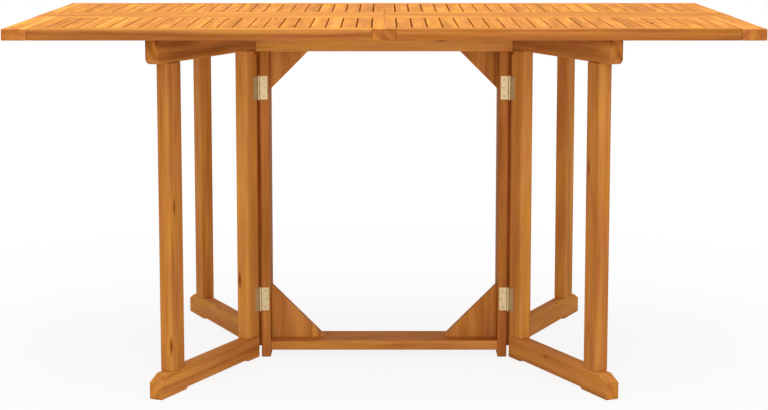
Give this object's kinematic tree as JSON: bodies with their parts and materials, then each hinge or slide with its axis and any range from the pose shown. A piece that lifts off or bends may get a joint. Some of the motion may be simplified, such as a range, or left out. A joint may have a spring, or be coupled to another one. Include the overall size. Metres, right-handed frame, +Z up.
{
  "type": "butterfly folding table",
  "caption": "Rectangular slatted hardwood table: hinged flaps beside a fixed centre board, held up by gate legs that swing out from a central box frame.",
  "frame": {"origin": "on the floor, under the middle of the open table", "axes": "+X along the table's length, +Y to the back, +Z up"},
  "size_m": [1.5, 0.9, 0.75],
  "materials": {
    "top_wood": "oiled, satin",
    "leg_wood": "oiled, satin",
    "frame_wood": "oiled, satin",
    "hinge_metal": "yellow zinc plate, satin",
    "screw_steel": "yellow zinc plate, satin"
  },
  "bodies": {
    "frame": {"apron_back": "frame_wood", "apron_front": "frame_wood", "centre_board_left": "top_wood", "centre_board_right": "top_wood", "flap_hinge_centre_leaves": "hinge_metal", "flap_hinge_pins": "hinge_metal", "frame_bottom_rail": "frame_wood", "frame_gussets": "frame_wood", "frame_hinge_screws": "screw_steel", "frame_post_left": "frame_wood", "frame_post_right": "frame_wood", "frame_top_rail": "frame_wood", "frame_wood_screws": "screw_steel", "gate_hinge_frame_leaves": "hinge_metal", "gate_hinge_pins": "hinge_metal"},
    "gate_front_left": {"gate_front_left_foot": "leg_wood", "gate_front_left_hinge_leaves": "hinge_metal", "gate_front_left_inner_post": "leg_wood", "gate_front_left_outer_leg": "leg_wood", "gate_front_left_top_rail": "leg_wood"},
    "gate_front_right": {"gate_front_right_foot": "leg_wood", "gate_front_right_hinge_leaves": "hinge_metal", "gate_front_right_inner_post": "leg_wood", "gate_front_right_outer_leg": "leg_wood", "gate_front_right_top_rail": "leg_wood"},
    "gate_back_left": {"gate_back_left_foot": "leg_wood", "gate_back_left_hinge_leaves": "hinge_metal", "gate_back_left_inner_post": "leg_wood", "gate_back_left_outer_leg": "leg_wood", "gate_back_left_top_rail": "leg_wood"},
    "gate_back_right": {"gate_back_right_foot": "leg_wood", "gate_back_right_hinge_leaves": "hinge_metal", "gate_back_right_inner_post": "leg_wood", "gate_back_right_outer_leg": "leg_wood", "gate_back_right_top_rail": "leg_wood"},
    "flap_front_left": {"flap_front_left_end_rail": "top_wood", "flap_front_left_hinge_leaves": "hinge_metal", "flap_front_left_inner_rail": "top_wood", "flap_front_left_outer_rail": "top_wood", "flap_front_left_seam_stile": "top_wood", "flap_front_left_slats": "top_wood"},
    "flap_front_right": {"flap_front_right_end_rail": "top_wood", "flap_front_right_hinge_leaves": "hinge_metal", "flap_front_right_inner_rail": "top_wood", "flap_front_right_outer_rail": "top_wood", "flap_front_right_seam_stile": "top_wood", "flap_front_right_slats": "top_wood"},
    "flap_back_left": {"flap_back_left_end_rail": "top_wood", "flap_back_left_hinge_leaves": "hinge_metal", "flap_back_left_inner_rail": "top_wood", "flap_back_left_outer_rail": "top_wood", "flap_back_left_seam_stile": "top_wood", "flap_back_left_slats": "top_wood"},
    "flap_back_right": {"flap_back_right_end_rail": "top_wood", "flap_back_right_hinge_leaves": "hinge_metal", "flap_back_right_inner_rail": "top_wood", "flap_back_right_outer_rail": "top_wood", "flap_back_right_seam_stile": "top_wood", "flap_back_right_slats": "top_wood"}
  },
  "joints": [
    {"name": "gate_front_left_swing", "type": "hinge", "parent": "frame", "child": "gate_front_left", "pos_m": [-0.2713, -0.058, 0.3625], "axis": [0, 0, -1], "range_deg": [0, 65.4]},
    {"name": "gate_front_right_swing", "type": "hinge", "parent": "frame", "child": "gate_front_right", "pos_m": [0.2713, -0.058, 0.3625], "axis": [0, 0, 1], "range_deg": [0, 65.4]},
    {"name": "gate_back_left_swing", "type": "hinge", "parent": "frame", "child": "gate_back_left", "pos_m": [-0.2713, 0.058, 0.3625], "axis": [0, 0, 1], "range_deg": [0, 65.4]},
    {"name": "gate_back_right_swing", "type": "hinge", "parent": "frame", "child": "gate_back_right", "pos_m": [0.2713, 0.058, 0.3625], "axis": [0, 0, -1], "range_deg": [0, 65.4]},
    {"name": "flap_front_left_lift", "type": "hinge", "parent": "frame", "child": "flap_front_left", "pos_m": [-0.375, -0.0655, 0.724], "axis": [-1, 0, 0], "range_deg": [0, 2.5]},
    {"name": "flap_front_right_lift", "type": "hinge", "parent": "frame", "child": "flap_front_right", "pos_m": [0.375, -0.0655, 0.724], "axis": [-1, 0, 0], "range_deg": [0, 2.5]},
    {"name": "flap_back_left_lift", "type": "hinge", "parent": "frame", "child": "flap_back_left", "pos_m": [-0.375, 0.0655, 0.724], "axis": [1, 0, 0], "range_deg": [0, 2.5]},
    {"name": "flap_back_right_lift", "type": "hinge", "parent": "frame", "child": "flap_back_right", "pos_m": [0.375, 0.0655, 0.724], "axis": [1, 0, 0], "range_deg": [0, 2.5]}
  ]
}
